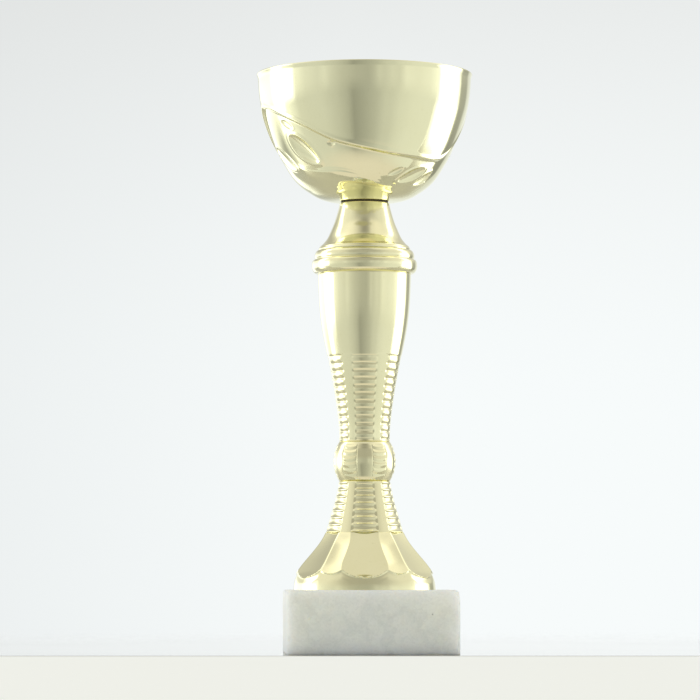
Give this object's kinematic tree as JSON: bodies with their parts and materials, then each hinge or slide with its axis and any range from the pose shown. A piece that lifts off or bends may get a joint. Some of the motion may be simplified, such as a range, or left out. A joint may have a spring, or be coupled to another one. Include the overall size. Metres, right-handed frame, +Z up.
{
  "type": "cup trophy",
  "caption": "Cup trophy: shallow gold bowl on a beaded, flared stem with a petalled foot, clamped to a square marble block by a central threaded rod.",
  "frame": {"origin": "on the stem axis, in the plane of the marble block's underside; the block itself sits 2.4 mm off that axis towards +X", "axes": "+Z up along the stem's axis; +X and +Y square to the marble block's sides, the front face looks towards -Y"},
  "size_m": [0.103, 0.103, 0.2748],
  "materials": {
    "marble": "honed white-grey marble with faint veining",
    "plated_stem": "vacuum-plated pale champagne gold on moulded plastic, mirror gloss",
    "plated_bowl": "plated pale gold sheet, mirror gloss",
    "gasket": "matt dark rubber",
    "zinc_steel": "bright zinc plate"
  },
  "bodies": {
    "root": {"marble_base": "marble", "foot": "plated_stem", "knob": "plated_stem", "column": "plated_stem", "collar_ring": "plated_stem", "bowl_neck": "plated_stem", "bowl_gasket": "gasket", "bowl": "plated_bowl", "tie_rod": "zinc_steel", "base_nut": "zinc_steel", "base_washer": "zinc_steel", "bowl_nut": "zinc_steel", "bowl_washer": "zinc_steel"}
  },
  "joints": []
}
